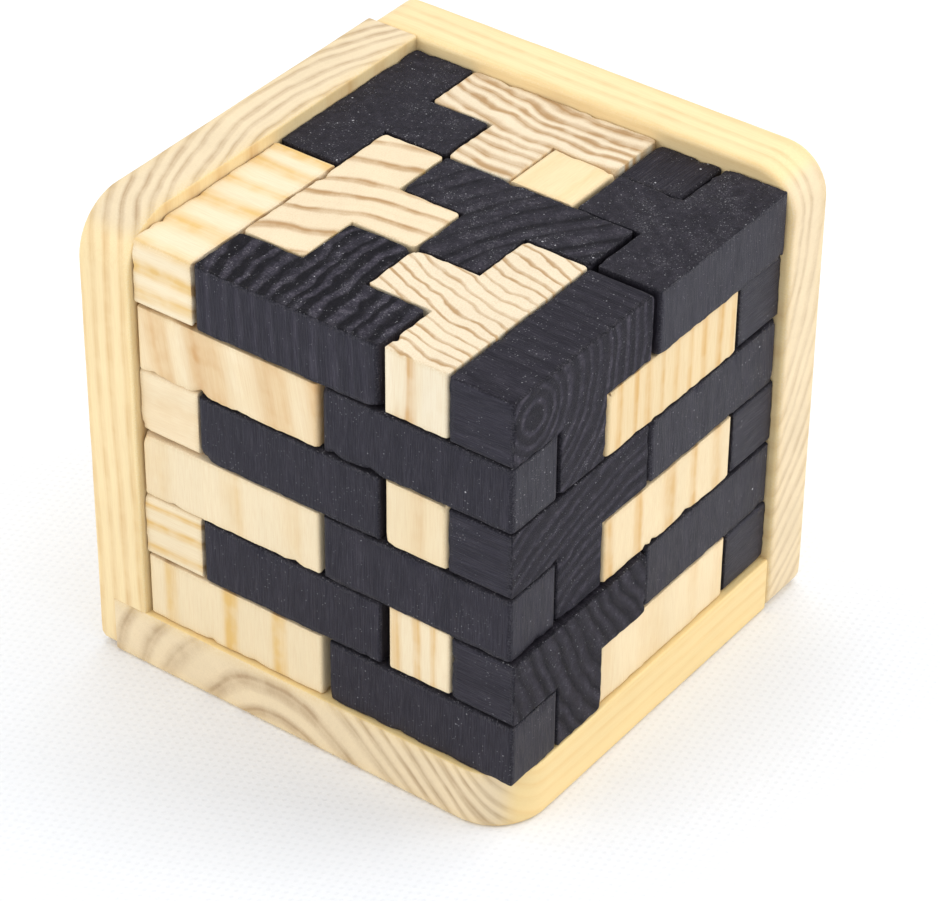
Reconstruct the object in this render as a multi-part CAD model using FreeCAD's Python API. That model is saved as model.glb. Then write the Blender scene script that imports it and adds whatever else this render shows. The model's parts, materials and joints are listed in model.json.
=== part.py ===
"""Wooden packing puzzle: T-shaped blocks that fill a cube, standing in a three-panel corner tray.

The cube is six cells along each edge and is packed in three identical levels, each two cells
high. A level holds eighteen T-shaped blocks, nine of pine and nine stained black. A block is a
bar of three cells with a stem of one cell in the middle of one side. The tray is a base board,
a left wall and a back wall of plain pine, open at the front (-Y), the right (+X) and the top.
Millimetres, +Z up, origin under the middle of the whole object on the surface it stands on.
"""
import FreeCAD, Part
import os

# Driving dimensions
CELL = 10.0          # cell pitch of the cube
CELLS = 6            # cells along each edge of the cube
LEVEL_CELLS = 2      # height of one level, in cells
PLAY = 0.2           # gap between neighbouring blocks
BLOCK_CORNER = 0.8   # radius of the corners of a block's T, from the moulding it is sliced from
WALL = 8.6           # thickness of the tray's two walls
BASE = 9.0           # thickness of the tray's base board
LIP = 0.6            # how far the base and the left wall run past the cube at the front and right
BACK_LIP = 1.0       # how far the back wall runs past the cube on the right
TOP_LIP = 1.7        # how far the walls rise above the cube
TONGUE = 3.0         # outer part of the left wall that runs down beside the base board
BACK_INSET = 0.3     # the back wall's left end stops this far inside the left wall's face
CORNER = 8.0         # radius of the base board's and the left wall's free corner
BACK_CORNER = 6.5    # radius of the back wall's free corner
SMALL_CORNER = 2.5   # radius of the walls' other free corners
PANEL_EDGE = 0.8     # rounding along the panels' free edges

# How far a few loose blocks stand out towards the open right side
STANDING_OUT = {
    "bottom_black_front_right_under": 0.6,
    "bottom_black_right_front_upright": 0.6,
    "bottom_pine_right_inner": 0.4,
    "top_black_right_back": 0.4,
}

# The cube's corner and the tray's outer limits in the object's frame
CUBE = CELLS * CELL
LEFT = -(WALL + CUBE + BACK_LIP) / 2
FRONT = -(LIP + CUBE + WALL) / 2
CUBE_X = LEFT + WALL
CUBE_Y = FRONT + LIP
CUBE_Z = BASE
RIGHT = CUBE_X + CUBE + BACK_LIP
BACK = CUBE_Y + CUBE + WALL
TOP = CUBE_Z + CUBE + TOP_LIP

AXES = {
    "+x": FreeCAD.Vector(1, 0, 0),
    "-x": FreeCAD.Vector(-1, 0, 0),
    "+y": FreeCAD.Vector(0, 1, 0),
    "-y": FreeCAD.Vector(0, -1, 0),
    "+z": FreeCAD.Vector(0, 0, 1),
    "-z": FreeCAD.Vector(0, 0, -1),
}

LEVELS = ("bottom", "middle", "top")

# One level's blocks: name, the cell at the middle of the bar (x, y, and 0 for the lower or 1 for
# the upper layer), the bar's direction and the stem's direction.
BLOCKS = (
    ("black_back_left", (0, 4, 1), "+y", "+x"),
    ("pine_back_centre", (2, 5, 1), "+x", "-y"),
    ("black_back_right_upright", (4, 5, 0), "+x", "+z"),
    ("black_right_back", (5, 4, 1), "+y", "-x"),
    ("pine_inner_back_upright", (3, 4, 0), "+x", "+z"),
    ("pine_left_inner", (1, 2, 1), "+y", "+x"),
    ("black_centre", (3, 3, 1), "+x", "-y"),
    ("pine_left_front_upright", (0, 1, 1), "+y", "-z"),
    ("pine_right_inner", (4, 1, 1), "+y", "-x"),
    ("black_right_front_upright", (5, 1, 1), "+y", "-z"),
    ("black_front_centre", (2, 0, 1), "+x", "+y"),
    ("pine_front_left_under", (1, 0, 0), "+x", "+y"),
    ("black_front_right_under", (4, 0, 0), "+x", "+y"),
    ("pine_right_under", (5, 3, 0), "+y", "-x"),
    ("pine_back_left_under", (1, 5, 0), "+x", "-y"),
    ("black_left_under", (0, 3, 0), "+y", "+x"),
    ("pine_centre_left_under", (2, 2, 0), "+y", "-x"),
    ("black_centre_right_under", (3, 2, 0), "+y", "+x"),
)


def t_block(middle, bar, stem):
    """A T-shaped block around the point at the middle of its bar: a slice of a T-shaped moulding."""
    across = bar.cross(stem)
    half = (CELL - PLAY) / 2
    reach = half + CELL

    def point(along_bar, along_stem):
        return middle + bar * along_bar + stem * along_stem - across * half

    armpits = (point(half, half), point(-half, half))
    outline = [
        point(-reach, -half),
        point(reach, -half),
        point(reach, half),
        armpits[0],
        point(half, reach),
        point(-half, reach),
        armpits[1],
        point(-reach, half),
    ]
    profile = Part.Face(Part.makePolygon(outline + outline[:1]))
    block = profile.extrude(across * (2 * half))

    def is_corner(edge):
        runs_through = abs(edge.tangentAt(edge.FirstParameter).dot(across)) > 0.5
        at = edge.CenterOfMass - across * half
        return runs_through and all(at.distanceToPoint(armpit) > half for armpit in armpits)

    return block.makeFillet(BLOCK_CORNER, [edge for edge in block.Edges if is_corner(edge)])


def level_blocks(level):
    """The eighteen blocks of one level, by node name."""
    made = {}
    for name, (x, y, layer), bar, stem in BLOCKS:
        z = LEVELS.index(level) * LEVEL_CELLS + layer
        node = level + "_" + name
        middle = FreeCAD.Vector(
            CUBE_X + (x + 0.5) * CELL + STANDING_OUT.get(node, 0),
            CUBE_Y + (y + 0.5) * CELL,
            CUBE_Z + (z + 0.5) * CELL,
        )
        made[node] = t_block(middle, AXES[bar], AXES[stem])
    return made


def fillet_where(shape, radius, wanted):
    """The shape with every edge rounded whose middle point is wanted."""
    return shape.makeFillet(radius, [edge for edge in shape.Edges if wanted(edge.CenterOfMass)])


def same(one, other):
    """Whether two coordinates are the same place."""
    return abs(one - other) < 1e-6


def board(low, high):
    """A square-edged board between two opposite corners."""
    low = FreeCAD.Vector(*low)
    size = FreeCAD.Vector(*high) - low
    return Part.makeBox(size.x, size.y, size.z, low)


def left_wall():
    """The wall on the left: its outer part runs down beside the base board, the rest stands on it."""
    back = CUBE_Y + CUBE
    wall = board((LEFT, FRONT, 0), (CUBE_X, back, TOP))
    wall = wall.cut(board((LEFT + TONGUE, FRONT, 0), (CUBE_X, back, BASE)))
    wall = fillet_where(wall, CORNER, lambda at: same(at.y, FRONT) and same(at.z, TOP))
    wall = fillet_where(wall, SMALL_CORNER, lambda at: same(at.y, FRONT) and same(at.z, 0))
    wall = fillet_where(wall, PANEL_EDGE, lambda at: same(at.x, LEFT) and not same(at.y, back))
    return fillet_where(
        wall, PANEL_EDGE, lambda at: same(at.x, CUBE_X) and not same(at.y, back) and at.z > BASE + 1
    )


def back_wall():
    """The wall at the back: it covers the ends of the left wall and of the base board."""
    left = LEFT + BACK_INSET
    inner = CUBE_Y + CUBE
    wall = board((left, inner, 0), (RIGHT, BACK, TOP))
    wall = fillet_where(wall, BACK_CORNER, lambda at: same(at.x, RIGHT) and same(at.z, TOP))
    wall = fillet_where(wall, SMALL_CORNER, lambda at: same(at.x, RIGHT) and same(at.z, 0))
    wall = fillet_where(wall, SMALL_CORNER, lambda at: same(at.x, left) and same(at.z, TOP))
    wall = fillet_where(wall, PANEL_EDGE, lambda at: same(at.y, BACK))
    return fillet_where(wall, PANEL_EDGE, lambda at: same(at.y, inner) and at.x > CUBE_X + CUBE)


def base_board():
    """The board under the cube: its left edge lies under the left wall's inner part."""
    left = LEFT + TONGUE
    right = CUBE_X + CUBE + LIP
    back = CUBE_Y + CUBE
    base = board((left, FRONT, 0), (right, back, BASE))
    base = fillet_where(base, CORNER, lambda at: same(at.x, right) and same(at.y, FRONT))

    def is_free(at):
        on_a_face = same(at.z, 0) or same(at.z, BASE)
        return on_a_face and not same(at.x, left) and not same(at.y, back)

    return fillet_where(base, PANEL_EDGE, is_free)


def main():
    pieces = {"base_board": base_board(), "left_wall": left_wall(), "back_wall": back_wall()}
    for level in LEVELS:
        pieces.update(level_blocks(level))
    os.makedirs("parts", exist_ok=True)
    for name, shape in pieces.items():
        shape.exportStep(os.path.join("parts", name + ".step"))
    print(len(pieces), "pieces")


main()
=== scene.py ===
"""Looks of the wooden T-block packing puzzle: 54 worn wooden blocks and their three-panel tray."""
import json
import math

import bpy
import numpy as np
from mathutils import Matrix, Vector


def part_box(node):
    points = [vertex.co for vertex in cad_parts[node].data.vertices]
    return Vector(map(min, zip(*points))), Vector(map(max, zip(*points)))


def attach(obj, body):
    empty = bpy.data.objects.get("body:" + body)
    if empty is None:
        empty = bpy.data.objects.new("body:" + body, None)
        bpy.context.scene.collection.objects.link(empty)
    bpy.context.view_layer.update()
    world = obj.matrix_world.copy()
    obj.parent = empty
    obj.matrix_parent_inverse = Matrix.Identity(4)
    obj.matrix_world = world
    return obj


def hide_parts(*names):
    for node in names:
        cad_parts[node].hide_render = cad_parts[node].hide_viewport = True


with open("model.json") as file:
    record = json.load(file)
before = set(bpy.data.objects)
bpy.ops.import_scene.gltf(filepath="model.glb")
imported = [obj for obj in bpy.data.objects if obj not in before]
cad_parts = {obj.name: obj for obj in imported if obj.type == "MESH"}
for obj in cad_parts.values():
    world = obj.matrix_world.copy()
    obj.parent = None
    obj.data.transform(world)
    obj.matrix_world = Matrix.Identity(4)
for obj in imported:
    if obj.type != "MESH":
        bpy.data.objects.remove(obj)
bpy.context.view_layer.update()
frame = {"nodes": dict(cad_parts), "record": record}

MM = 0.001

# ---------------------------------------------------------------- sizes, from the frame

block_nodes = [name for name, body in frame["record"]["behaviour"]["bodies"].items() if name != "tray"]
first_low, first_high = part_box(block_nodes[0])
block_sides = sorted(first_high - first_low)
CELL = (block_sides[2] - block_sides[0]) / 2
PLAY = CELL - block_sides[0]
CELLS = 6
HALF = (CELL - PLAY) / 2
REACH = HALF + CELL
CUBE_LOW = Vector((
    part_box("left_wall")[1].x,
    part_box("back_wall")[0].y - CELLS * CELL,
    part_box("base_board")[1].z,
))
CUBE_MIDDLE = CUBE_LOW + Vector((1, 1, 1)) * (CELLS * CELL / 2)

CORNER_ROUND = (0.4 * MM, 0.75 * MM)  # moulded corners of the T, the least and most worn
CUT_ROUND = 0.2 * MM         # crumbled arris where a block was sliced from its moulding
DENTS = (8, 16)              # fewest dents along a block's sliced edges, and one more than the most
DENT_REACH = (0.7 * MM, 2.0 * MM)
DENT_DEPTH = (0.08, 0.3)     # in millimetres
LOOSE = (0.01, 0.07)         # in millimetres, how much smaller a block is than its room
WAVINESS = 0.02 * MM         # how uneven a block's faces are
BLOCK_EDGE_BAND = 0.9 * MM   # how far wear reaches from an edge
PANEL_EDGE_BAND = 1.6 * MM
PANEL_CORNER = 8 * MM
BACK_CORNER = 6.5 * MM
PANEL_SMALL_CORNER = 2.5 * MM
PANEL_ROUND = 0.8 * MM
PANEL_FINE_ROUND = 0.35 * MM
PANEL_STEP = 1.1 * MM        # the panels' grid
BLOCK_STEP = CELL / 12       # the blocks' grid
TONGUE = 3.0 * MM            # outer part of the left wall that runs down beside the base board
NEAR_ARRIS = np.array([0, 0.07, 0.16, 0.34, 0.58, 0.85]) * MM  # the grid's first lines inside an arris
SHARP = math.radians(50)     # faces that meet at more than this are shaded as an edge

# ---------------------------------------------------------------- mesh helpers


def ruled(start, end, fine_start, fine_end, step):
    """Grid positions between two ends: close together at the ends that carry an arris."""
    inner_start = start + (NEAR_ARRIS[-1] if fine_start else 0)
    inner_end = end - (NEAR_ARRIS[-1] if fine_end else 0)
    count = max(1, round((inner_end - inner_start) / step))
    places = list(np.linspace(inner_start, inner_end, count + 1))
    if fine_start:
        places = list(start + NEAR_ARRIS[:-1]) + places
    if fine_end:
        places = places + list(end - NEAR_ARRIS[:-1][::-1])
    return places


def shell_of(xs, ys, zs, is_solid):
    """Vertices and quads of the outer surface of the grid cells whose middles are solid."""
    middles = [(np.array(line[1:]) + np.array(line[:-1])) / 2 for line in (xs, ys, zs)]
    solid = is_solid(*np.meshgrid(*middles, indexing="ij"))
    padded = np.pad(solid, 1)
    numbers = {}
    quads = []
    lines = (xs, ys, zs)
    for axis in range(3):
        for side in (0, 1):
            beyond = np.roll(padded, 1 if side == 0 else -1, axis)[1:-1, 1:-1, 1:-1]
            for cell in zip(*np.nonzero(solid & ~beyond)):
                one, two = (axis + 1) % 3, (axis + 2) % 3
                corners = []
                for step_one, step_two in ((0, 0), (1, 0), (1, 1), (0, 1)):
                    at = list(cell)
                    at[axis] += side
                    at[one] += step_one
                    at[two] += step_two
                    corners.append(numbers.setdefault(tuple(at), len(numbers)))
                quads.append(corners if side else corners[::-1])
    places = np.array([[lines[k][at[k]] for k in range(3)] for at in numbers], float)
    return places, quads


def wobble(places, size, seed):
    """Smooth repeatable noise from -1 to 1 in three directions, with hollows about size apart."""
    rng = np.random.default_rng(seed)
    octaves, waves_each, fading = 3, 6, 1.6
    total = np.zeros_like(places)
    for octave in range(octaves):
        waves = rng.normal(size=(3, waves_each, 3)) * (2 ** octave) * 2.0 / size
        phases = rng.uniform(0, 2 * math.pi, size=(3, waves_each))
        for axis in range(3):
            swing = np.sin(places @ waves[axis].T + phases[axis]).sum(1)
            total[:, axis] += swing / waves_each / (fading ** octave)
    return total


def round_square(one, two, radius):
    """Moves points of a square corner onto a quarter circle. one and two are distances inside."""
    across = np.maximum(radius - one, 0)
    along = np.maximum(radius - two, 0)
    longest = np.maximum(across, along)
    reach = np.hypot(across, along)
    scale = np.where(reach > 0, longest / np.where(reach > 0, reach, 1), 1)
    inside = (across > 0) & (along > 0)
    return np.where(inside, radius - across * scale, one), np.where(inside, radius - along * scale, two)


def new_piece(name, places, quads, attributes, material, body, replaced):
    """Makes a Blender object that stands for a CAD node, with its named vertex attributes."""
    mesh = bpy.data.meshes.new(name)
    mesh.from_pydata(places.tolist(), [], quads)
    for key, values in attributes.items():
        kind, part = ("FLOAT_VECTOR", "vector") if values.ndim == 2 else ("FLOAT", "value")
        layer = mesh.attributes.new(key, kind, "POINT")
        layer.data.foreach_set(part, values.astype(np.float32).ravel())
    mesh.materials.append(material)
    mesh.shade_smooth()
    mesh.set_sharp_from_angle(angle=SHARP)
    piece = bpy.data.objects.new(name, mesh)
    bpy.context.scene.collection.objects.link(piece)
    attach(piece, body)
    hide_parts(replaced)


# ---------------------------------------------------------------- node helpers


class Graph:
    """A short way to write a material's nodes."""

    def __init__(self, name):
        self.material = bpy.data.materials.new(name)
        self.material.use_nodes = True
        self.tree = self.material.node_tree
        self.tree.nodes.clear()

    def add(self, kind, inputs=(), **settings):
        node = self.tree.nodes.new(kind)
        for key, value in settings.items():
            setattr(node, key, value)
        for key, value in dict(inputs).items():
            self.put(node, key, value)
        return node

    def put(self, node, key, value):
        socket = node.inputs[key]
        if isinstance(value, bpy.types.NodeSocket):
            self.tree.links.new(value, socket)
        else:
            socket.default_value = value

    def math(self, operation, one, two=0.0, three=0.0, clamp=False):
        node = self.add("ShaderNodeMath", operation=operation, use_clamp=clamp)
        for index, value in enumerate((one, two, three)):
            self.put(node, index, value)
        return node.outputs[0]

    def vector(self, operation, one, two=(0.0, 0.0, 0.0)):
        node = self.add("ShaderNodeVectorMath", operation=operation)
        self.put(node, 0, one)
        self.put(node, 1, two)
        return node.outputs["Value" if operation in ("DOT_PRODUCT", "LENGTH") else "Vector"]

    def attribute(self, name, output="Vector"):
        return self.add("ShaderNodeAttribute", attribute_name=name).outputs[output]

    def split(self, vector):
        return self.add("ShaderNodeSeparateXYZ", {0: vector}).outputs

    def join(self, x, y, z):
        return self.add("ShaderNodeCombineXYZ", {0: x, 1: y, 2: z}).outputs[0]

    def noise(self, vector, scale, detail=2.0, roughness=0.5):
        inputs = {"Vector": vector, "Scale": scale, "Detail": detail, "Roughness": roughness}
        return self.add("ShaderNodeTexNoise", inputs).outputs[0]

    def smooth(self, value, low, high, to_low=0.0, to_high=1.0):
        node = self.add("ShaderNodeMapRange", interpolation_type="SMOOTHSTEP")
        for key, number in (("Value", value), ("From Min", low), ("From Max", high),
                            ("To Min", to_low), ("To Max", to_high)):
            self.put(node, key, number)
        return node.outputs[0]

    def mix(self, share, one, two, blend="MIX"):
        node = self.add("ShaderNodeMix", data_type="RGBA", blend_type=blend)
        self.put(node, 0, share)
        self.put(node, 6, one)
        self.put(node, 7, two)
        return node.outputs[2]

    def scaled(self, colour, red, green, blue):
        """A colour with each channel multiplied."""
        return self.mix(1.0, colour, self.join(red, green, blue), "MULTIPLY")

    def ramp(self, value, stops):
        node = self.add("ShaderNodeValToRGB", {0: value})
        while len(node.color_ramp.elements) < len(stops):
            node.color_ramp.elements.new(0.5)
        for element, (place, colour) in zip(node.color_ramp.elements, stops):
            element.position = place
            element.color = colour
        return node.outputs[0]

    def bump(self, height, distance, strength):
        inputs = {"Height": height, "Distance": distance, "Strength": strength}
        return self.add("ShaderNodeBump", inputs).outputs[0]

    def finish(self, **sockets):
        shader = self.add("ShaderNodeBsdfPrincipled")
        for key, value in sockets.items():
            self.put(shader, key.replace("_", " "), value)
        self.add("ShaderNodeOutputMaterial", {"Surface": shader.outputs[0]})
        return self.material


def grey(value):
    return (value, value, value, 1)


# ---------------------------------------------------------------- wood
#
# Every wooden piece carries these vertex attributes:
#   grain  place in millimetres from the tree's pith, z along the fibres
#   fibre  the direction of the fibres
#   wood   ring spacing in millimetres, ring contrast, a seed
#   figure how wavy the rings are in millimetres, the latewood's share of a ring, and how far
#          the rings stray from true circles in millimetres
#   tone   brightness, warmth, and how yellow the latewood is; on a stained block brightness, how
#          dark the latewood bands are and how pale the earlywood lines
#   arris  1 on an edge, 0 away from it


BAND_PLACE = 0.55   # where the latewood's band and its line lie in the width of a ring
LINE_PLACE = 0.61
RAY_COUNT = 30.0    # wood rays in each radian round the pith


def growth_rings(graph):
    """Latewood 0 to 1, earlywood 0 to 1, distance round the rings, distance from the pith."""
    grain = graph.attribute("grain")
    spacing, contrast, seed = graph.split(graph.attribute("wood"))[:3]
    wavy, width, bent = graph.split(graph.attribute("figure"))[:3]
    x, y, z = graph.split(grain)[:3]
    shift = graph.math("MULTIPLY", seed, 17.3)
    shifted = graph.math("ADD", x, shift)
    radius = graph.vector("LENGTH", graph.join(x, y, 0.0))

    # the rings stray from true circles: first broadly, then in waves, then raggedly
    ragged = graph.math("MULTIPLY", wavy, 0.12)
    for scale, follow, size in ((0.11, 0.3, bent), (0.17, 0.05, wavy), (0.75, 0.05, ragged)):
        swell = graph.noise(graph.join(shifted, y, graph.math("MULTIPLY", z, follow)), scale, 2)
        radius = graph.math("MULTIPLY_ADD", graph.math("SUBTRACT", swell, 0.5), size, radius)

    # how many rings out from the pith, some rings wider than others
    count = graph.math("ADD", graph.math("DIVIDE", radius, spacing), seed)
    uneven = graph.noise(graph.join(count, shift, 0.0), 0.55, 1)
    count = graph.math("MULTIPLY_ADD", uneven, 1.1, count)
    within = graph.math("FRACT", count)

    # each ring has a strength of its own, and fades in places
    ring_number = {"W": graph.math("FLOOR", count)}
    strength = graph.add("ShaderNodeTexWhiteNoise", ring_number, noise_dimensions="1D").outputs[0]
    patchy = graph.smooth(graph.noise(grain, 0.3, 2), 0.35, 0.65, 0.6, 1.05)
    strength = graph.math("MULTIPLY", graph.smooth(strength, 0.0, 1.0, 0.65, 1.0), patchy)
    strength = graph.math("MULTIPLY", strength, contrast)

    # the latewood: a soft band with a thin line in it, and hair lines all over
    off_band = graph.math("ABSOLUTE", graph.math("SUBTRACT", within, BAND_PLACE))
    band_end = graph.math("MULTIPLY", width, 0.55)
    band = graph.smooth(off_band, band_end, graph.math("MULTIPLY", width, 0.12))
    off_line = graph.math("ABSOLUTE", graph.math("SUBTRACT", within, LINE_PLACE))
    line = graph.smooth(off_line, 0.1, 0.01)
    profile = graph.math("MULTIPLY_ADD", line, 0.3, graph.math("MULTIPLY", band, 0.75))
    hair = graph.noise(graph.join(graph.math("MULTIPLY", count, 6.0), shift, 0.0), 1.0, 2)
    dark = graph.math("MULTIPLY_ADD", graph.math("SUBTRACT", hair, 0.5), 0.3, profile)
    dark = graph.math("MAXIMUM", graph.math("MULTIPLY", dark, strength), 0.0)

    # the earlywood lies at both ends of a ring's width
    off_middle = graph.math("ABSOLUTE", graph.math("SUBTRACT", within, 0.5))
    early = graph.smooth(off_middle, 0.2, 0.44)
    early = graph.math("MULTIPLY", early, strength)
    turn = graph.math("MULTIPLY", graph.math("ARCTAN2", y, x), RAY_COUNT)
    return dark, early, turn, radius


def end_grain_share(graph):
    """1 where the surface cuts across the fibres, 0 where it runs along them."""
    normal = graph.add("ShaderNodeTexCoord").outputs["Normal"]
    across = graph.math("ABSOLUTE", graph.vector("DOT_PRODUCT", normal, graph.attribute("fibre")))
    return graph.smooth(across, 0.5, 0.85)


def fibres(graph, scale, length=0.05):
    """Streaks along the fibres."""
    x, y, z = graph.split(graph.attribute("grain"))[:3]
    return graph.noise(graph.join(x, y, graph.math("MULTIPLY", z, length)), scale, 3, 0.6)


PALE_STREAK = (0.87, 0.79, 0.62, 1)


def pine(name, pale, latewood, yellow, end_pale, end_latewood, edge):
    """Sanded pine: soft bands along the fibres, brown fuzzy rings on the cut ends.

    pale and latewood colour the long faces, where latewood can be as yellow as the colour yellow;
    end_pale and end_latewood colour the cut ends, and edge colours the worn edges.
    """
    graph = Graph(name)
    grain = graph.attribute("grain")
    bright, warm, golden = graph.split(graph.attribute("tone"))[:3]
    dark, early, turn, radius = growth_rings(graph)
    cut = end_grain_share(graph)
    streak = fibres(graph, 2.6)
    fine = fibres(graph, 9.0, 0.03)
    fleck = graph.noise(grain, 4.5, 3, 0.7)
    rays = graph.noise(graph.join(turn, graph.math("MULTIPLY", radius, 0.35), 0.0), 1.6, 2)

    # faces along the fibres
    long_dark = graph.math("MULTIPLY_ADD", graph.math("SUBTRACT", streak, 0.5), 0.3, dark)
    long_colour = graph.mix(graph.math("MULTIPLY", long_dark, 0.85, clamp=True), pale,
                            graph.mix(golden, latewood, yellow))
    pale_streak = graph.math("MULTIPLY", early, graph.smooth(golden, 0.0, 0.25, 0.8, 0.0))
    long_colour = graph.mix(pale_streak, long_colour, PALE_STREAK)
    long_colour = graph.mix(graph.smooth(fine, 0.35, 0.75, 0.0, 0.22), long_colour, latewood)

    # cut ends
    end_dark = graph.math("MULTIPLY_ADD", graph.math("SUBTRACT", fleck, 0.45), 0.5, dark)
    end_dark = graph.math("MULTIPLY_ADD", graph.math("SUBTRACT", rays, 0.5), 0.18, end_dark)
    end_colour = graph.mix(graph.math("MULTIPLY", end_dark, 1.0, clamp=True), end_pale, end_latewood)
    colour = graph.mix(cut, long_colour, end_colour)

    # the piece's own tone, and its worn edges
    blotch = fibres(graph, 0.12, 0.25)
    level = graph.math("MULTIPLY", bright, graph.smooth(blotch, 0.3, 0.7, 0.97, 1.03))
    colour = graph.scaled(colour, level, level, level)
    less_green = graph.math("SUBTRACT", 1.0, graph.math("MULTIPLY", warm, 0.09))
    less_blue = graph.math("SUBTRACT", 1.0, graph.math("MULTIPLY", warm, 0.26))
    colour = graph.scaled(colour, 1.0, less_green, less_blue)
    worn = graph.math("MULTIPLY", graph.attribute("arris", "Fac"), graph.smooth(fleck, 0.35, 0.6))
    colour = graph.mix(graph.math("MULTIPLY", worn, 0.4), colour, edge)

    # relief and sheen
    height = graph.math("MULTIPLY_ADD", fine, 0.5, graph.math("MULTIPLY", dark, 0.08))
    height = graph.math("MULTIPLY_ADD", fleck, graph.smooth(cut, 0.0, 1.0, 0.1, 0.6), height)
    dull = graph.math("MULTIPLY_ADD", fine, 0.5, graph.math("MULTIPLY", cut, 0.5))
    rough = graph.smooth(dull, 0.1, 0.9, 0.42, 0.7)
    return graph.finish(Base_Color=colour, Roughness=rough, IOR=1.5, Specular_IOR_Level=0.35,
                        Normal=graph.bump(height, 0.045 * MM, 0.6))


DUST = (0.52, 0.51, 0.53, 1)
# pale edge colour: partly wear, partly a painted highlight along the arrises
WEAR_AND_HIGHLIGHT = (0.25, 0.23, 0.24, 1)
CRUMBLED = (0.003, 0.003, 0.003, 1)
BLUISH = (0.75, 0.76, 1.0, 1)

# The stain's colour from where it lies thickest to where the wood shows through it
STAIN = (
    (0.38, (0.004, 0.003, 0.005, 1)),
    (0.5, (0.015, 0.013, 0.018, 1)),
    (0.63, (0.052, 0.046, 0.056, 1)),
)

# Specks of dust: cells per millimetre, the largest speck in cells, the share of the cells that
# hold one, and how much of the stain it hides
DUST_LAYERS = ((4.4, 0.34, 0.7, 0.27), (2.4, 0.28, 0.3, 0.35), (1.1, 0.16, 0.13, 0.75))


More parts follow.
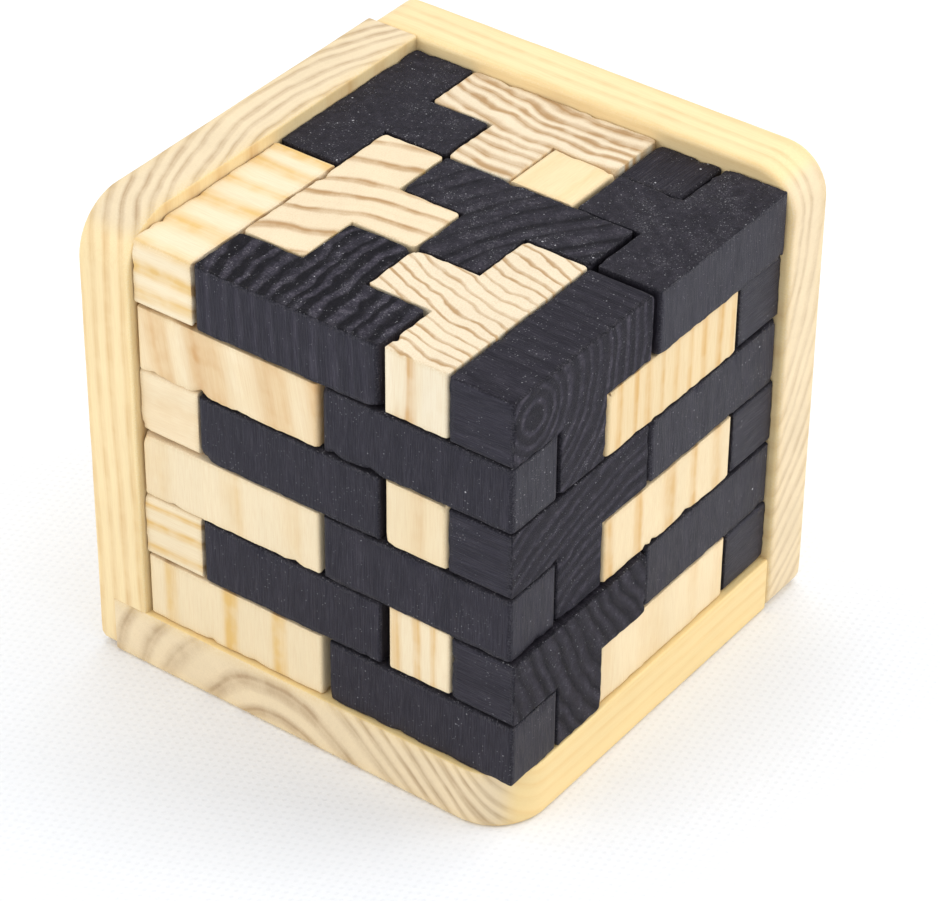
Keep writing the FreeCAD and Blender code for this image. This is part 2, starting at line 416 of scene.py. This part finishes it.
def stained_black(name):
    """Pine under a thin black stain: the grain shows as ridges, and handling has left pale dust."""
    graph = Graph(name)
    grain = graph.attribute("grain")
    bright, dark_bands, pale_lines = graph.split(graph.attribute("tone"))[:3]
    late, early = growth_rings(graph)[:2]
    cut = end_grain_share(graph)
    x, y, z = graph.split(grain)[:3]
    fine = fibres(graph, 7.0, 0.04)
    fleck = graph.noise(grain, 4.0, 4, 0.7)
    patchy = graph.noise(graph.join(x, y, graph.math("MULTIPLY", z, 0.35)), 0.9, 4, 0.65)

    # the stain, thinner on raised fibres, darkest in the latewood of the cut ends
    texture = graph.mix(cut, fine, fleck)
    lift = graph.math("MULTIPLY_ADD", patchy, 0.4, graph.math("MULTIPLY", texture, 0.6))
    lift = graph.mix(graph.smooth(cut, 0.0, 1.0, 0.3, 1.0), grey(0.5), lift)
    colour = graph.ramp(lift, STAIN)
    deepest = graph.math("SUBTRACT", 1.0, graph.math("MULTIPLY", dark_bands, 0.88))
    shade = graph.smooth(late, 0.0, 0.8, 1.05, graph.smooth(cut, 0.0, 1.0, 0.9, deepest))
    lines = graph.smooth(cut, 0.0, 1.0, 0.3, graph.math("MULTIPLY", pale_lines, 1.8))
    level = graph.math("MULTIPLY_ADD", early, lines, shade)
    level = graph.math("MULTIPLY", bright, level)
    colour = graph.scaled(colour, level, level, level)

    # dust: most on what faces up, in clusters and along the edges, least in the latewood
    edge = graph.attribute("arris", "Fac")
    facing_up = graph.split(graph.add("ShaderNodeTexCoord").outputs["Normal"])[2]
    exposed = graph.smooth(facing_up, 0.2, 0.8, 0.32, 1.0)
    exposed = graph.math("MULTIPLY", exposed, graph.smooth(cut, 0.0, 1.0, 0.7, 1.0))
    exposed = graph.math("MULTIPLY", exposed, graph.smooth(late, 0.0, 0.6, 1.0, 0.4))
    cluster = graph.smooth(graph.noise(grain, 0.2, 3, 0.6), 0.45, 0.72, 0.2, 1.0)
    cluster = graph.math("MAXIMUM", cluster, graph.smooth(edge, 0.3, 0.9, 0.0, 0.7))
    dust = graph.math("MULTIPLY", exposed, cluster)
    cover = 0.0
    for scale, largest, share, opacity in DUST_LAYERS:
        cells = graph.add("ShaderNodeTexVoronoi", {"Vector": grain, "Scale": scale, "Randomness": 1.0})
        chance, draw = graph.split(cells.outputs["Color"])[:2]
        settled = graph.math("LESS_THAN", chance, graph.math("MULTIPLY", dust, share))
        size = graph.math("MULTIPLY", graph.smooth(draw, 0.0, 1.0, 0.35, 1.0), largest)
        inside = graph.math("LESS_THAN", cells.outputs["Distance"], size)
        speck = graph.math("MULTIPLY", inside, settled)
        cover = graph.math("MAXIMUM", graph.math("MULTIPLY", speck, opacity), cover)
    haze = graph.math("MULTIPLY", dust, graph.smooth(fleck, 0.4, 0.75, 0.0, 0.09))
    cover = graph.math("MAXIMUM", cover, haze)

    # edges crumbled in places and pale in others, partly from wear and partly a painted highlight along
    # the arrises, all under the dust
    crumbs = graph.math("MULTIPLY", edge, graph.smooth(fleck, 0.42, 0.6))
    colour = graph.mix(graph.math("MULTIPLY", crumbs, 0.7), colour, CRUMBLED)
    # painted highlight along the arrises, mixed with pale wear
    wear_and_highlight = graph.math("MULTIPLY", edge, graph.smooth(fleck, 0.5, 0.36))
    colour = graph.mix(graph.math("MULTIPLY", wear_and_highlight, 0.2), colour, WEAR_AND_HIGHLIGHT)
    colour = graph.mix(cover, colour, DUST)

    # relief and sheen
    height = graph.math("MULTIPLY", early, graph.smooth(cut, 0.0, 1.0, -0.3, -1.2))
    height = graph.math("MULTIPLY_ADD", fine, graph.smooth(cut, 0.0, 1.0, 0.7, 0.4), height)
    height = graph.math("MULTIPLY_ADD", fleck, graph.smooth(cut, 0.0, 1.0, 0.3, 1.1), height)
    height = graph.math("MULTIPLY_ADD", crumbs, -1.0, height)
    rough = graph.smooth(patchy, 0.3, 0.7, 0.36, 0.5)
    rough = graph.math("MULTIPLY_ADD", cut, 0.25, rough)
    long_sheen = graph.smooth(facing_up, 0.2, 0.8, 0.22, 0.1)
    sheen = graph.smooth(cut, 0.0, 1.0, long_sheen, 0.16)
    sheen = graph.math("MULTIPLY", sheen, graph.smooth(fine, 0.3, 0.7, 0.82, 1.18))
    sheen = graph.math("MULTIPLY", sheen, graph.smooth(shade, 0.1, 0.9, 0.45, 1.0))
    return graph.finish(Base_Color=colour, Roughness=rough, IOR=1.5, Specular_IOR_Level=sheen,
                        Specular_Tint=BLUISH, Normal=graph.bump(height, 0.1 * MM, 0.8))


BURNT_EDGE = (0.58, 0.40, 0.18, 1)
HONEY_EDGE = (0.80, 0.56, 0.20, 1)
TRAY_END = (0.745, 0.62, 0.43, 1)

PINE_BLOCK = pine(
    "pine_block", pale=(0.81, 0.69, 0.48, 1), latewood=(0.60, 0.36, 0.16, 1), yellow=(0.74, 0.50, 0.17, 1),
    end_pale=(0.81, 0.68, 0.49, 1), end_latewood=(0.43, 0.26, 0.12, 1), edge=BURNT_EDGE)
TRAY_PINE = pine(
    "tray_pine", pale=(0.835, 0.68, 0.40, 1), latewood=(0.62, 0.40, 0.19, 1), yellow=(0.70, 0.48, 0.21, 1),
    end_pale=TRAY_END, end_latewood=(0.46, 0.33, 0.20, 1), edge=HONEY_EDGE)
BASE_PINE = pine(
    "base_pine", pale=(0.82, 0.645, 0.335, 1), latewood=(0.66, 0.44, 0.2, 1), yellow=(0.8, 0.575, 0.26, 1),
    end_pale=TRAY_END, end_latewood=(0.42, 0.30, 0.18, 1), edge=HONEY_EDGE)
BLACK_BLOCK = stained_black("black_block")

# ---------------------------------------------------------------- the blocks
#
# GRAIN: how a block that shows was cut from its tree. pith is where the tree's centre lies, in
# cells from the middle of the bar, along the bar and the stem; spacing is between rings in
# millimetres; short is how much the bar's two ends and the stem's end fall short, in
# millimetres; lean is how far the rings drift sideways per millimetre along the fibres. contrast,
# figure and tone are the attributes listed above. What isn't listed is drawn at random.

GRAIN = {
    "top_pine_back_centre": {
        "pith": (0.6, -7.0), "spacing": 2.2, "contrast": 1.4,
        "figure": (1.6, 0.8), "tone": (0.99, 0.0, 0.0),
    },
    "top_pine_left_inner": {
        "pith": (-4.2, 1.6), "spacing": 4.4, "contrast": 1.1,
        "figure": (1.0, 0.45),
    },
    "top_pine_right_inner": {
        "pith": (7.0, -1.5), "spacing": 1.9, "contrast": 1.3,
        "figure": (2.0, 0.42), "tone": (1.0, -0.1, 0.1),
    },
    "top_pine_left_front_upright": {
        "pith": (-3.5, 4.5), "spacing": 3.4, "contrast": 1.4,
        "figure": (0.3, 0.75), "tone": (1.05, 0.0, 0.8),
    },
    "top_pine_inner_back_upright": {
        "pith": (9.0, 3.0), "spacing": 4.5, "contrast": 0.25,
        "tone": (1.05, 0.8, 0.8),
    },
    "top_black_front_centre": {
        "pith": (9.0, 1.0), "spacing": 2.5, "contrast": 1.7,
        "figure": (3.4, 0.8), "tone": (1.12, 0.75, 0.35), "short": (0.1, 0.5, 0.1),
    },
    "middle_black_front_centre": {
        "pith": (-4.0, 6.0), "spacing": 3.0, "contrast": 0.5,
        "short": (0.1, 0.45, 0.1),
    },
    "bottom_black_front_centre": {
        "pith": (5.0, 7.0), "spacing": 2.6, "contrast": 0.5,
        "short": (0.1, 0.4, 0.1),
    },
    "top_black_back_left": {
        "pith": (-7.0, 5.0), "spacing": 3.6, "contrast": 0.5,
        "tone": (0.98, 0.15, 0.15),
    },
    "top_black_centre": {
        "pith": (4.5, 2.5), "spacing": 3.0, "contrast": 0.9,
        "figure": (0.6, 0.4), "tone": (1.0, 0.6, 0.4),
    },
    "top_black_back_right_upright": {
        "pith": (3.0, 7.0), "spacing": 2.0, "contrast": 0.7,
        "short": (0.1, 0.1, 0.45),
    },
    "top_black_right_back": {
        "pith": (-6.0, 5.0), "spacing": 3.4, "contrast": 0.5,
        "tone": (1.02, 0.15, 0.2), "short": (0.45, 0.1, 0.15),
    },
    "top_black_right_front_upright": {
        "pith": (-1.05, -0.05), "spacing": 2.0, "contrast": 0.85,
        "figure": (0.5, 0.6), "tone": (1.05, 0.3, 1.0),
    },
    "middle_black_right_front_upright": {
        "pith": (1.5, 5.0), "spacing": 2.2, "contrast": 0.9,
        "figure": (1.2, 0.6), "tone": (1.05, 0.35, 0.7),
    },
    "bottom_black_right_front_upright": {
        "pith": (6.5, -3.2), "spacing": 2.3, "contrast": 1.1,
        "figure": (1.4, 0.5), "tone": (1.0, 0.55, 0.5),
    },
    "top_pine_front_left_under": {
        "pith": (7.75, 5.0), "spacing": 7.6, "contrast": 1.0,
        "figure": (0.3, 1.2), "tone": (1.0, 0.7, 0.0), "lean": (0.17, 0.0),
    },
    "middle_pine_front_left_under": {
        "pith": (-9.0, 7.0), "spacing": 9.0, "contrast": 0.5,
        "tone": (1.0, 0.2, 0.6),
    },
    "bottom_pine_front_left_under": {
        "pith": (12.45, 3.0), "spacing": 9.0, "contrast": 1.3,
        "figure": (0.4, 0.35), "tone": (0.99, 0.4, 0.9),
    },
    "middle_pine_left_front_upright": {
        "pith": (-9.0, 2.0), "spacing": 6.0, "contrast": 0.5,
        "tone": (1.04, 0.1, 0.3),
    },
    "bottom_pine_left_front_upright": {
        "pith": (-5.0, 9.0), "spacing": 3.0, "contrast": 1.3,
        "figure": (0.3, 0.6), "tone": (1.02, 0.2, 0.8),
    },
    "middle_pine_right_inner": {
        "pith": (2.0, 8.0), "spacing": 7.0, "contrast": 0.6,
    },
    "bottom_pine_right_inner": {
        "pith": (2.0, 9.0), "spacing": 2.9, "contrast": 1.1,
        "figure": (0.3, 0.6), "tone": (1.05, 0.1, 0.5),
    },
    "top_pine_right_under": {
        "pith": (-8.0, 4.0), "spacing": 2.8, "contrast": 1.2,
        "figure": (0.3, 0.6), "tone": (0.97, 1.0, 0.6),
    },
    "middle_pine_right_under": {
        "pith": (-9.0, 8.0), "spacing": 4.6, "contrast": 1.1,
        "figure": (0.3, 0.5), "tone": (1.0, 0.6, 0.5),
    },
    "bottom_pine_right_under": {
        "pith": (-12.0, 9.0), "spacing": 7.0, "contrast": 0.4,
        "tone": (1.03, 0.5, 0.6),
    },
}

# Ranges for what is drawn at random, in the same units
ANY_SHORT = (0, 0.25)
ANY_PITH = (3, 9)
ANY_BRIGHTNESS = (0.95, 1.05)
ANY_WARMTH = (0.0, 0.7)
ANY_YELLOW = (0.1, 0.7)
ANY_SPACING = (1.7, 4.0)
ANY_CONTRAST = (0.4, 0.9)
ANY_WAVE = (0.3, 1.4)
ANY_WIDTH = (0.4, 0.7)
USUAL_LEAN = 0.02
STRAYING = 2.2        # how far every block's rings stray from true circles
TREE_LENGTH = 500     # blocks come from anywhere along this many millimetres of tree
BLOCK_SEED = 1000
SHAPE_SEED = 50


def block_frame(node):
    """(middle of the bar, along the bar, along the stem) of a block, read from its CAD solid."""
    low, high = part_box(node)
    size = high - low
    order = sorted(range(3), key=lambda axis: size[axis])
    bar, stem = Vector(), Vector()
    bar[order[2]] = 1
    middle = (low + high) / 2
    places = np.array([vertex.co for vertex in frame["nodes"][node].data.vertices])
    at_ends = np.abs(places[:, order[2]] - middle[order[2]]) > REACH - CELL / 4
    side = places[at_ends, order[1]].mean() - middle[order[1]]
    stem[order[1]] = -1 if side > 0 else 1
    return middle - stem * (CELL / 2), bar, stem


def block_grid():
    """The T's surface on a grid: first along the bar, second along the stem, third through."""
    middle = ruled(-HALF, HALF, True, True, BLOCK_STEP)
    outer = ruled(HALF, REACH, False, True, BLOCK_STEP)[1:]
    bar = ruled(-REACH, -HALF, True, False, BLOCK_STEP)[:-1] + middle + outer
    stem = middle + outer
    through = middle
    return shell_of(bar, stem, through, lambda b, s, w: (s < HALF) | (np.abs(b) < HALF))


GRID_PLACES, GRID_QUADS = block_grid()


def worn_block(rng, seed):
    """One block's surface in its own directions, with its edge attribute: round, uneven, chipped."""
    corner = rng.uniform(*CORNER_ROUND)
    b, s, w = GRID_PLACES.T.copy()
    uneven = wobble(GRID_PLACES, 6 * MM, seed)
    crumble = wobble(GRID_PLACES, 1.1 * MM, seed + 1)

    # the moulded corners of the T
    bar_b = np.clip(b, corner - REACH, REACH - corner)
    bar_s = np.clip(s, corner - HALF, HALF - corner)
    stem_b = np.clip(b, corner - HALF, HALF - corner)
    stem_s = np.clip(s, corner - HALF, REACH - corner)
    nearer = np.hypot(b - bar_b, s - bar_s) <= np.hypot(b - stem_b, s - stem_s)
    core_b = np.where(nearer, bar_b, stem_b)
    core_s = np.where(nearer, bar_s, stem_s)
    out_b, out_s = b - core_b, s - core_s
    length = np.hypot(out_b, out_s)
    safe = np.where(length > 0, length, 1)
    ring = np.maximum(np.abs(out_b), np.abs(out_s))

    # the sliced edges, more crumbled in some places than in others
    depth = corner - ring
    rise = HALF - np.abs(w)
    arris_round = CUT_ROUND * (1 + 1.4 * np.clip(crumble[:, 0], -0.65, 1.8))
    new_depth, new_rise = round_square(depth, rise, arris_round)
    inner = length > 0
    b = np.where(inner, core_b + out_b / safe * (corner - new_depth), b)
    s = np.where(inner, core_s + out_s / safe * (corner - new_depth), s)
    w = np.where(w > 0, HALF - new_rise, new_rise - HALF)
    places = np.stack([b, s, w], 1)
    arris = np.clip(1 - np.hypot(np.maximum(depth, 0), rise) / BLOCK_EDGE_BAND, 0, 1)
    bend = np.minimum(np.abs(out_b), np.abs(out_s)) / corner
    arris = np.maximum(arris, np.clip(1.4 * bend, 0, 0.7))

    # small dents along the sliced edges
    inward = -np.sign(np.stack([out_b, out_s, w], 1))
    for _ in range(rng.integers(*DENTS)):
        place = places[rng.choice(np.nonzero(arris > 0.8)[0])]
        reach = rng.uniform(*DENT_REACH)
        share = np.clip(1 - np.linalg.norm(places - place, axis=1) / reach, 0, 1) ** 1.5
        places += inward * (share * rng.uniform(*DENT_DEPTH) * MM)[:, None]
    places += (uneven - 1) * WAVINESS * np.sign(places)
    return places, arris


def settle(places, short, rng):
    """Makes a block a little smaller than its cell room and lets it lie loose inside that room."""
    b, s, w = places.T
    at_start = np.clip((-b - HALF) / CELL, 0, 1)
    at_end = np.clip((b - HALF) / CELL, 0, 1)
    up_stem = np.clip((s - HALF) / CELL, 0, 1)
    places[:, 0] += (at_start * short[0] - at_end * short[1]) * MM
    places[:, 1] -= up_stem * short[2] * MM
    slack = rng.uniform(*LOOSE, 3) * MM
    extent = np.array([REACH, (REACH + HALF) / 2, HALF])
    middle = np.array([0, (REACH - HALF) / 2, 0])
    places[:] = (places - middle) * (1 - slack / extent) + middle
    places += rng.uniform(-1, 1, 3) * slack


def make_block(node, index):
    """Makes the visual block for one CAD node."""
    rng = np.random.default_rng(BLOCK_SEED + index)
    middle, bar, stem = block_frame(node)
    fibre = bar.cross(stem)
    places, arris = worn_block(rng, SHAPE_SEED + 3 * index)
    seat = GRAIN.get(node, {})
    settle(places, seat.get("short", rng.uniform(*ANY_SHORT, 3)), rng)
    angle = rng.uniform(0, 2 * math.pi)
    away = rng.uniform(*ANY_PITH)
    random_pith = (away * math.cos(angle), away * math.sin(angle))
    random_tone = tuple(rng.uniform(*span) for span in (ANY_BRIGHTNESS, ANY_WARMTH, ANY_YELLOW))
    pith = seat.get("pith", random_pith)
    spacing = seat.get("spacing", rng.uniform(*ANY_SPACING))
    contrast = seat.get("contrast", rng.uniform(*ANY_CONTRAST))
    random_figure = (rng.uniform(*ANY_WAVE), rng.uniform(*ANY_WIDTH))
    figure = (*seat.get("figure", random_figure), STRAYING)
    tone = seat.get("tone", random_tone)
    lean = seat.get("lean", rng.normal(0, USUAL_LEAN, 2))

    along = places[:, 0] / MM - pith[0] * CELL / MM + lean[0] * places[:, 2] / MM
    across = places[:, 1] / MM - pith[1] * CELL / MM + lean[1] * places[:, 2] / MM
    through = places[:, 2] / MM + rng.uniform(0, TREE_LENGTH)
    count = len(places)
    attributes = {
        "grain": np.stack([along, across, through], 1),
        "fibre": np.tile(fibre, (count, 1)),
        "wood": np.tile((spacing, contrast, rng.uniform(0, 9)), (count, 1)),
        "figure": np.tile(figure, (count, 1)),
        "tone": np.tile(tone, (count, 1)),
        "arris": arris,
    }
    turn = np.array([bar, stem, fibre])
    world = places @ turn + np.array(middle)
    wood, slot = (BLACK_BLOCK, "black_block") if "_black_" in node else (PINE_BLOCK, "pine_block")
    new_piece(node + "_wood", world, GRID_QUADS, attributes, wood, node, node)


for number, block_node in enumerate(sorted(block_nodes)):
    make_block(block_node, number)

# ---------------------------------------------------------------- the tray
#
# A panel lies in a plane of two axes and is thin along the third. corners gives the radius at each
# free corner as (side of the first axis, side of the second axis): radius; free lists the sides
# that aren't butted against another panel; rounds are the arris radii of its two faces. pith is
# where the tree's centre lies, in cells from the cube's low corner, on the two axes across the
# fibres; tighter is the distance in millimetres from it at which the rings lie four times closer,
# and lean is how much they lean over for each millimetre of that distance, and about which height
# above the pith.

PANELS = {
    "base_board": {
        "axes": (0, 1, 2), "free": ((0, 1), (1, 0)), "corners": {(1, 0): PANEL_CORNER},
        "rounds": (PANEL_ROUND, PANEL_FINE_ROUND),
        "fibre": 1, "pith": (2.3, -1.5), "spacing": 5.0, "contrast": 0.9, "figure": (0.5, 0.72, 1.6),
        "tone": (1.07, 0.35, 0.9), "tighter": 49, "lean": (0.055, 10.5), "material": BASE_PINE,
    },
    "left_wall": {
        "axes": (1, 2, 0), "free": ((0, 0), (1, 0), (1, 1)),
        "corners": {(0, 1): PANEL_CORNER, (0, 0): PANEL_SMALL_CORNER},
        "rounds": (PANEL_ROUND, PANEL_FINE_ROUND),
        "fibre": 2, "pith": (5.0, 3.5), "spacing": 2.0, "contrast": 0.95, "figure": (0.3, 0.7, 1.9),
        "tone": (1.03, 0.25, 0.4), "material": TRAY_PINE,
    },
    "back_wall": {
        "axes": (0, 2, 1), "free": ((0, 0), (0, 1), (1, 0), (1, 1)),
        "corners": {(1, 1): BACK_CORNER, (1, 0): PANEL_SMALL_CORNER, (0, 1): PANEL_SMALL_CORNER},
        "rounds": (PANEL_ROUND, PANEL_ROUND),
        "fibre": 0, "pith": (1.0, 5.7), "spacing": 2.4, "contrast": 0.6, "figure": (0.3, 0.7, 1.4),
        "tone": (1.06, 0.35, 0.3), "material": TRAY_PINE,
    },
}

PANEL_DRIFT = 0.015   # how far a panel's rings drift sideways per millimetre along the fibres
PANEL_ALONG = 100     # millimetres along the tree to the middle of the tray
PANEL_SEED = 0.37


def panel_grid(low, high, has_tongue):
    """A panel's surface on a grid. The left wall's inner part stops at the top of the base board."""
    lines = [ruled(low[axis], high[axis], True, True, PANEL_STEP) for axis in range(3)]
    if not has_tongue:
        return shell_of(*lines, lambda x, y, z: x > low[0])  # solid all through
    inner = low[0] + TONGUE
    shelf = CUBE_LOW.z
    lines[0] = ruled(low[0], inner, True, False, PANEL_STEP)[:-1]
    lines[0] += ruled(inner, high[0], False, True, PANEL_STEP)
    lines[2] = ruled(low[2], shelf, True, False, PANEL_STEP)[:-1]
    lines[2] += ruled(shelf, high[2], True, True, PANEL_STEP)
    return shell_of(*lines, lambda x, y, z: (x < inner) | (z > shelf))


def round_panel(places, low, high, panel, arris_seed):
    """Moves a panel's places to round its free corners and arrises. Returns the arris attribute."""
    flat = panel["axes"][:2]
    thin = panel["axes"][2]
    far = 1.0  # more than any distance in the tray, so that a butted side is never the nearest
    inside = {}
    for axis in (0, 1):
        for side in (0, 1):
            along = places[:, flat[axis]]
            distance = high[flat[axis]] - along if side else along - low[flat[axis]]
            inside[axis, side] = distance if (axis, side) in panel["free"] else distance + far
    sides = list(inside)
    table = np.stack([inside[key] for key in sides], 1)
    nearest = table.argmin(1)
    depth = table.min(1)
    outward = np.zeros((len(places), 2))
    for number, (axis, side) in enumerate(sides):
        outward[nearest == number, axis] = 1 if side else -1
    for (side_one, side_two), radius in panel["corners"].items():
        one = radius - inside[0, side_one]
        two = radius - inside[1, side_two]
        both = (one > 0) & (two > 0)
        longest = np.maximum(one, two)
        reach = np.where(both, np.hypot(one, two), 1)
        signs = np.array([1 if side_one else -1, 1 if side_two else -1])
        direction = np.stack([one, two], 1) / reach[:, None]
        shift = (direction * longest[:, None] - np.stack([one, two], 1)) * signs
        places[:, flat[0]] += np.where(both, shift[:, 0], 0)
        places[:, flat[1]] += np.where(both, shift[:, 1], 0)
        depth = np.where(both, radius - longest, depth)
        outward = np.where(both[:, None], direction * signs, outward)

    uneven = wobble(places, 9 * MM, arris_seed)
    low_rise = places[:, thin] - low[thin]
    high_rise = high[thin] - places[:, thin]
    at_low = low_rise < high_rise
    rise = np.minimum(low_rise, high_rise)
    radius = np.where(at_low, panel["rounds"][0], panel["rounds"][1]) * (1 + 0.12 * uneven[:, 0])
    new_depth, new_rise = round_square(depth, rise, radius)
    for axis in (0, 1):
        places[:, flat[axis]] -= outward[:, axis] * (new_depth - depth)
    places[:, thin] += np.where(at_low, 1, -1) * (new_rise - rise)
    return np.clip(1 - np.hypot(np.maximum(depth, 0), rise) / PANEL_EDGE_BAND, 0, 1)


def make_panel(node, panel, seed):
    """Makes the visual panel for one CAD node of the tray."""
    low, high = (np.array(corner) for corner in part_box(node))
    places, quads = panel_grid(low, high, node == "left_wall")
    arris = round_panel(places, low, high, panel, seed)
    fibre = panel["fibre"]
    across = [axis for axis in range(3) if axis != fibre]
    grain = np.zeros_like(places)
    for number, axis in enumerate(across):
        grain[:, number] = (places[:, axis] - CUBE_LOW[axis]) / MM - panel["pith"][number] * CELL / MM
    grain[:, 2] = places[:, fibre] / MM + PANEL_ALONG
    if "tighter" in panel:
        beyond = np.maximum(grain[:, 0], 0)
        lean, level = panel["lean"]
        grain[:, 0] *= 1 + (beyond / panel["tighter"]) ** 2
        grain[:, 0] += beyond * (grain[:, 1] - level) * lean
    grain[:, 0] += PANEL_DRIFT * grain[:, 2]
    direction = np.zeros(3)
    direction[fibre] = 1
    count = len(places)
    attributes = {
        "grain": grain,
        "fibre": np.tile(direction, (count, 1)),
        "wood": np.tile((panel["spacing"], panel["contrast"], seed * PANEL_SEED), (count, 1)),
        "figure": np.tile(panel["figure"], (count, 1)),
        "tone": np.tile(panel["tone"], (count, 1)),
        "arris": arris,
    }
    new_piece(node + "_wood", places, quads, attributes, panel["material"], "tray", node)


for number, (node_name, facts) in enumerate(PANELS.items()):
    make_panel(node_name, facts, number + 1)

# ---------------------------------------------------------------- floor, light and camera

FLOOR_BLUE = (0.87, 0.885, 0.91, 1)
FLOOR_WHITE = (0.90, 0.91, 0.93, 1)
FLOOR_MOTTLE = (0.72, 0.73, 0.75, 1)
# painted shade for the pressed dots of the weave
FLOOR_DOT_SHADE = (0.70, 0.71, 0.74, 1)
WEAVE_TURN = 0.5
WEAVE = (4400.0, 3300.0)  # radians of each thread's wave per metre


def floor_cloth():
    """A pale cloth with a faint weave of pressed dots, the shade in the dots painted into the colour."""
    graph = Graph("floor")
    place = graph.add("ShaderNodeTexCoord").outputs["Object"]
    mottle = graph.noise(place, 900.0, 4, 0.6)
    broad = graph.noise(place, 14.0, 2)
    colour = graph.mix(graph.smooth(broad, 0.3, 0.7), FLOOR_BLUE, FLOOR_WHITE)
    colour = graph.mix(graph.smooth(mottle, 0.4, 0.75, 0.0, 0.12), colour, FLOOR_MOTTLE)
    turning = {"Vector": place, "Angle": WEAVE_TURN}
    turned = graph.add("ShaderNodeVectorRotate", turning, rotation_type="Z_AXIS")
    across, along = graph.split(turned.outputs[0])[:2]
    rows = graph.math("SINE", graph.math("MULTIPLY", across, WEAVE[0]))
    columns = graph.math("SINE", graph.math("MULTIPLY", along, WEAVE[1]))
    dots = graph.smooth(graph.math("MULTIPLY", rows, columns), 0.2, 0.9)
    # painted shade: the pressed dots are darkened in colour as well as sunk by the bump
    colour = graph.mix(graph.math("MULTIPLY", dots, 0.22), colour, FLOOR_DOT_SHADE)
    relief = graph.math("MULTIPLY_ADD", dots, -0.6, mottle)
    return graph.finish(Base_Color=colour, Roughness=0.85, Normal=graph.bump(relief, 0.12 * MM, 0.35))


FLOOR_REACH = 3.0
floor_corners = [(x * FLOOR_REACH, y * FLOOR_REACH, 0) for x, y in ((-1, -1), (1, -1), (1, 1), (-1, 1))]
floor_mesh = bpy.data.meshes.new("floor")
floor_mesh.from_pydata(floor_corners, [], [(0, 1, 2, 3)])
floor_mesh.materials.append(floor_cloth())
floor = bpy.data.objects.new("floor", floor_mesh)
bpy.context.scene.collection.objects.link(floor)


def aim(item, place, target):
    """Puts an object at a place, looking at a target."""
    item.location = place
    item.rotation_euler = (Vector(target) - Vector(place)).to_track_quat("-Z", "Y").to_euler()


def area_light(name, place, size, watts, colour):
    """A soft rectangular light aimed at the middle of the cube."""
    data = bpy.data.lights.new(name, "AREA")
    data.shape = "RECTANGLE"
    data.size, data.size_y = size
    data.energy = watts
    data.color = colour
    lamp = bpy.data.objects.new(name, data)
    bpy.context.scene.collection.objects.link(lamp)
    aim(lamp, place, CUBE_MIDDLE)


area_light("top_light", (0.0, 0.2, 0.9), (0.9, 0.9), 3.6, (1.0, 0.99, 0.97))
area_light("left_light", (-0.45, -0.8, 0.4), (0.7, 0.6), 3.6, (1.0, 0.99, 0.98))
area_light("right_light", (0.8, 0.6, 0.4), (0.6, 0.6), 4.8, (1.0, 0.99, 0.98))

STUDIO_COLOUR = (0.93, 0.96, 1.0, 1)
STUDIO_STRENGTH = 0.78
studio = bpy.data.worlds.new("studio")
studio.use_nodes = True
background = studio.node_tree.nodes["Background"]
background.inputs["Color"].default_value = STUDIO_COLOUR
background.inputs["Strength"].default_value = STUDIO_STRENGTH
bpy.context.scene.world = studio
bpy.context.scene.view_settings.view_transform = "Standard"

# The camera stands in front, to the right and above, and looks almost at the cube's middle.
LENS = 146.24
AZIMUTH = math.radians(36.11)
ELEVATION = math.radians(36.08)
ROLL = math.radians(0.55)
DISTANCE = 50.394 * CELL
SHIFT = Vector((-0.127 * CELL, 0.597 * CELL, -DISTANCE))

away = Vector((
    math.sin(AZIMUTH) * math.cos(ELEVATION),
    -math.cos(AZIMUTH) * math.cos(ELEVATION),
    math.sin(ELEVATION),
))
level_right = Vector((0, 0, 1)).cross(away).normalized()
level_up = away.cross(level_right)
right = level_right * math.cos(ROLL) + level_up * math.sin(ROLL)
up = level_up * math.cos(ROLL) - level_right * math.sin(ROLL)
turn = Matrix((right, up, away)).transposed()

camera_data = bpy.data.cameras.new("camera")
camera_data.sensor_width = 36
camera_data.lens = LENS
camera_data.clip_start = 0.01
camera = bpy.data.objects.new("camera", camera_data)
bpy.context.scene.collection.objects.link(camera)
camera.matrix_world = Matrix.Translation(CUBE_MIDDLE - turn @ SHIFT) @ turn.to_4x4()
bpy.context.scene.camera = camera
